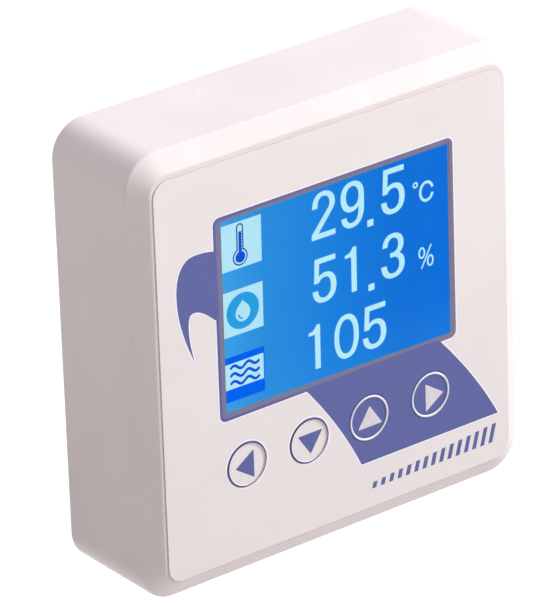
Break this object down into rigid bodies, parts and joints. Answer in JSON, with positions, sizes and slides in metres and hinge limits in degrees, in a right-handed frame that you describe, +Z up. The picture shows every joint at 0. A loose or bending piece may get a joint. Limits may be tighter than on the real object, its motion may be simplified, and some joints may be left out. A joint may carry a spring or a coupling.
{
  "type": "air quality monitor",
  "caption": "Square wall-mounted indoor air monitor with a colour display, round keys below it, a dust sensor with its own fan inside, and a clip-on wall plate.",
  "frame": {"origin": "middle of the wall plate's rear face, on the wall, between its four round screw holes", "axes": "+X to the right seen from the front, +Y into the wall, +Z up; the display and keys face -Y"},
  "size_m": [0.12, 0.034, 0.12],
  "materials": {
    "housing_plastic": "fine matt spark texture, warm white",
    "overlay_film": "satin printed film",
    "window_clear": "clear polished",
    "key_pale": "satin",
    "key_purple": "satin",
    "lcd_picture": "lit picture behind glass",
    "tray_steel": "pressed sheet",
    "backlight_white": "milky",
    "foam_grey": "open foam",
    "flex_amber": "polyimide film",
    "connector_ivory": "moulded",
    "board_green": "solder mask",
    "chip_black": "moulded epoxy",
    "screw_steel": "bright zinc",
    "can_aluminium": "drawn can",
    "ferrite_grey": "fired ferrite",
    "pin_brass": "plated",
    "terminal_green": "moulded",
    "sensor_grey": "moulded",
    "fan_black": "moulded",
    "plate_plastic": "fine matt texture",
    "quartz_can": "bright can"
  },
  "bodies": {
    "wall_mount": {"wall_plate": "plate_plastic"},
    "monitor": {"front_housing": "housing_plastic", "graphic_overlay": "overlay_film", "display_window": "window_clear", "lcd_frame": "tray_steel", "lcd_glass": "lcd_picture", "lcd_backlight": "backlight_white", "lcd_pads": "foam_grey", "lcd_ribbon": "flex_amber", "ribbon_connector": "connector_ivory", "main_board": "board_green", "board_screws": "screw_steel", "processor_chip": "chip_black", "transceiver_chip": "chip_black", "crystal": "quartz_can", "power_inductor": "ferrite_grey", "supply_capacitors": "can_aluminium", "gas_sensor": "can_aluminium", "terminal_block": "terminal_green", "terminal_clamps": "pin_brass", "terminal_screws": "screw_steel", "climate_board": "board_green", "climate_pins": "pin_brass", "humidity_sensor": "connector_ivory", "dust_sensor_case": "sensor_grey", "dust_sensor_lid": "sensor_grey", "dust_sensor_board": "board_green", "laser_module": "pin_brass", "light_detector": "chip_black", "fan_stator": "fan_black", "fan_spindle": "screw_steel", "duct_seal": "foam_grey", "sensor_tape": "foam_grey", "sensor_pad": "foam_grey", "rear_cover": "plate_plastic", "cover_screws": "screw_steel", "switch_body_left": "chip_black", "switch_body_down": "chip_black", "switch_body_up": "chip_black", "switch_body_right": "chip_black"},
    "key_left": {"key_left": "key_pale", "switch_stem_left": "fan_black"},
    "key_down": {"key_down": "key_pale", "switch_stem_down": "fan_black"},
    "key_up": {"key_up": "key_purple", "switch_stem_up": "fan_black"},
    "key_right": {"key_right": "key_purple", "switch_stem_right": "fan_black"},
    "fan": {"fan_rotor": "fan_black"}
  },
  "joints": [
    {"name": "monitor_unclip", "type": "slide", "parent": "wall_mount", "child": "monitor", "axis": [0, -1, 0], "range_m": [0, 0.025]},
    {"name": "key_left_press", "type": "slide", "parent": "monitor", "child": "key_left", "axis": [0, 1, 0], "range_m": [0, 0.0004], "stiffness_N_per_m": 4000, "springref_m": -0.0002},
    {"name": "key_down_press", "type": "slide", "parent": "monitor", "child": "key_down", "axis": [0, 1, 0], "range_m": [0, 0.0004], "stiffness_N_per_m": 4000, "springref_m": -0.0002},
    {"name": "key_up_press", "type": "slide", "parent": "monitor", "child": "key_up", "axis": [0, 1, 0], "range_m": [0, 0.0004], "stiffness_N_per_m": 4000, "springref_m": -0.0002},
    {"name": "key_right_press", "type": "slide", "parent": "monitor", "child": "key_right", "axis": [0, 1, 0], "range_m": [0, 0.0004], "stiffness_N_per_m": 4000, "springref_m": -0.0002},
    {"name": "fan_spin", "type": "hinge", "parent": "monitor", "child": "fan", "pos_m": [0.0315, -0.0195, -0.038], "axis": [0, 1, 0], "continuous": true}
  ]
}
